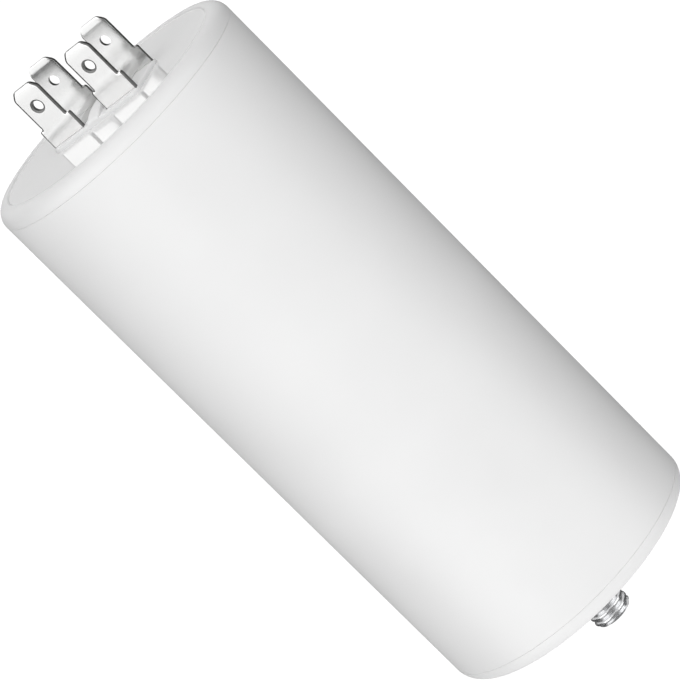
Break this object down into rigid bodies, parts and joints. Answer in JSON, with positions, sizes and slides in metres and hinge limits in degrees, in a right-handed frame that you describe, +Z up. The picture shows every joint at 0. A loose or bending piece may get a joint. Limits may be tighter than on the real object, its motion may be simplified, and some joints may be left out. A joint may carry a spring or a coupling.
{
  "type": "capacitor",
  "caption": "White plastic motor-run capacitor: a plain round can with a threaded mounting stud under its base and paired push-on blade terminals on a recessed lid.",
  "frame": {"origin": "on the can's axis, at the flat seat round the stud", "axes": "+Z up the can's axis from the stud to the terminals, +X along the width of the blades, +Y from the front blades to the back ones"},
  "size_m": [0.055, 0.055, 0.1463],
  "materials": {
    "tube": "satin white extruded plastic",
    "lid": "white moulded plastic, glossy in the recess",
    "base": "satin white moulded plastic",
    "terminals": "bright tin plating on stamped sheet",
    "stud": "bright zinc plating on a rolled thread"
  },
  "bodies": {
    "root": {"can_body": "tube", "terminal_lid": "lid", "base_cap": "base", "terminal_left": "terminals", "terminal_right": "terminals", "mounting_stud": "stud"}
  },
  "joints": []
}
